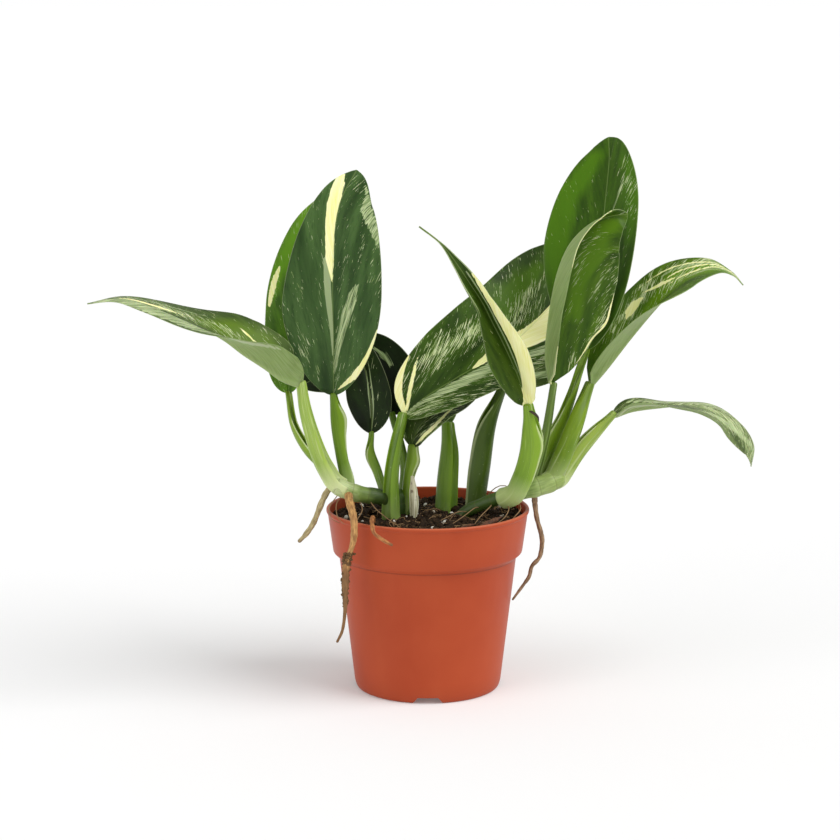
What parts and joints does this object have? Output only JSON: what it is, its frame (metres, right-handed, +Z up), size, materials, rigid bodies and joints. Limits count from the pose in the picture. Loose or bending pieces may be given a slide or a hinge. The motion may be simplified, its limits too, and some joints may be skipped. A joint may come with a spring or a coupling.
{
  "type": "potted variegated monstera standleyana",
  "caption": "Young climbing aroid in a round tapered nursery pot: long narrow leaves, streaked cream on green, on grooved petioles from short stems, with aerial roots over the rim.",
  "frame": {"origin": "centre of the pot's foot, on the surface that it stands on, under the middle of the whole plant's extents", "axes": "+X to the viewer's right along the longest spread of the leaves, +Y away from the viewer, +Z up out of the pot"},
  "size_m": [0.3896, 0.1476, 0.3244],
  "materials": {
    "pot_plastic": "satin",
    "potting_soil": "matte",
    "green_stem": "satin",
    "aerial_root": "matte",
    "petiole": "satin",
    "dry_sheath": "matte",
    "leaf_blade": "satin"
  },
  "bodies": {
    "root": {"pot": "pot_plastic", "soil": "potting_soil", "stem_left": "green_stem", "stem_centre": "green_stem", "stem_right": "green_stem", "root_outer_left": "aerial_root", "root_long_left": "aerial_root", "root_short_front": "aerial_root", "root_right_hanging": "aerial_root", "petiole_far_left": "petiole", "petiole_left_back": "petiole", "petiole_left_upright": "petiole", "petiole_left_dark": "petiole", "petiole_left_small": "petiole", "petiole_centre_wide": "petiole", "petiole_centre_low": "petiole", "petiole_centre_narrow": "petiole", "petiole_right_tall": "petiole", "petiole_right_front": "petiole", "petiole_right_arched": "petiole", "petiole_right_low": "petiole", "petiole_back_right": "petiole", "petiole_back_left": "petiole", "dry_sheath": "dry_sheath", "leaf_far_left": "leaf_blade", "leaf_left_back": "leaf_blade", "leaf_left_upright": "leaf_blade", "leaf_left_dark": "leaf_blade", "leaf_left_small": "leaf_blade", "leaf_centre_wide": "leaf_blade", "leaf_centre_low": "leaf_blade", "leaf_centre_narrow": "leaf_blade", "leaf_right_tall": "leaf_blade", "leaf_right_front": "leaf_blade", "leaf_right_arched": "leaf_blade", "leaf_right_low": "leaf_blade", "leaf_back_right": "leaf_blade", "leaf_back_left": "leaf_blade"}
  },
  "joints": []
}
